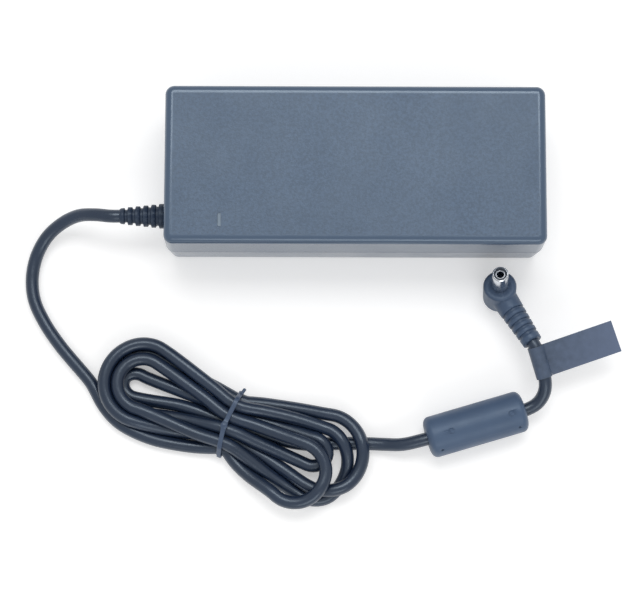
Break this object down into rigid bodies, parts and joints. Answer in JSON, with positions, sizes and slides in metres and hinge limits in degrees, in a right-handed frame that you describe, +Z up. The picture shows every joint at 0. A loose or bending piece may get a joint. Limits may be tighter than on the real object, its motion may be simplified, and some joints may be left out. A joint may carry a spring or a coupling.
{
  "type": "desktop power adapter",
  "caption": "Flat black power adapter brick with a mains inlet, a tied output cord, a moulded ferrite, a flag label and a right-angle barrel plug.",
  "frame": {"origin": "centre of the underside of the case", "axes": "+Z up, +X along the case to the mains inlet, -X to the output cord, -Y the front, where the cord lies"},
  "size_m": [0.2037, 0.1402, 0.033],
  "materials": {
    "case_plastic": "fine matte texture on the faces, satin sides",
    "light_pipe": "cloudy, unlit",
    "label_film": "satin, bare",
    "insulating_film": "satin",
    "inlet_plastic": "matte",
    "inlet_metal": "plated",
    "wire_insulation": "glossy",
    "board_laminate": "satin",
    "screw_steel": "zinc plated",
    "heatsink_aluminium": "mill finish",
    "device_epoxy": "matte",
    "disc_lacquer": "glossy",
    "film_box": "satin",
    "ferrite": "matte sintered",
    "copper_winding": "enamelled",
    "winding_tape": "satin",
    "capacitor_sleeve": "satin",
    "opto_white": "matte",
    "cord_jacket": "satin PVC",
    "relief_moulding": "satin PVC",
    "tie_plastic": "satin",
    "ferrite_moulding": "satin PVC",
    "flag_film": "satin, bare",
    "plug_moulding": "satin PVC",
    "plug_metal": "bright nickel plate",
    "plug_insulation": "matte"
  },
  "bodies": {
    "root": {"top_cover": "case_plastic", "bottom_cover": "case_plastic", "led_light_pipe": "light_pipe", "underside_label": "label_film", "insulating_sheet": "insulating_film", "ac_inlet_housing": "inlet_plastic", "ac_inlet_pins": "inlet_metal", "inlet_wires": "wire_insulation", "main_board": "board_laminate", "board_screws": "screw_steel", "heat_spreader": "heatsink_aluminium", "fuse": "device_epoxy", "varistor": "disc_lacquer", "x_capacitor": "film_box", "choke_core": "ferrite", "choke_winding": "copper_winding", "thermistor": "disc_lacquer", "bridge_rectifier": "device_epoxy", "bulk_capacitor": "capacitor_sleeve", "primary_heatsink": "heatsink_aluminium", "power_transistor": "device_epoxy", "secondary_heatsink": "heatsink_aluminium", "output_rectifier": "device_epoxy", "heatsink_screws": "screw_steel", "transformer_core": "ferrite", "transformer_bobbin": "device_epoxy", "transformer_winding": "winding_tape", "y_capacitor": "disc_lacquer", "optocoupler": "opto_white", "controller_chip": "device_epoxy", "output_capacitors": "capacitor_sleeve", "output_choke": "copper_winding", "indicator_led": "light_pipe", "dc_wires": "wire_insulation", "cord_strain_relief": "relief_moulding", "dc_cord_lead": "cord_jacket", "dc_cord_hank": "cord_jacket", "cord_tie": "tie_plastic", "dc_cord_tail": "cord_jacket", "ferrite_cover": "ferrite_moulding", "ferrite_core": "ferrite", "cord_flag": "flag_film", "plug_body": "plug_moulding", "plug_barrel": "plug_metal", "plug_insulator": "plug_insulation", "plug_contact": "plug_metal"}
  },
  "joints": []
}
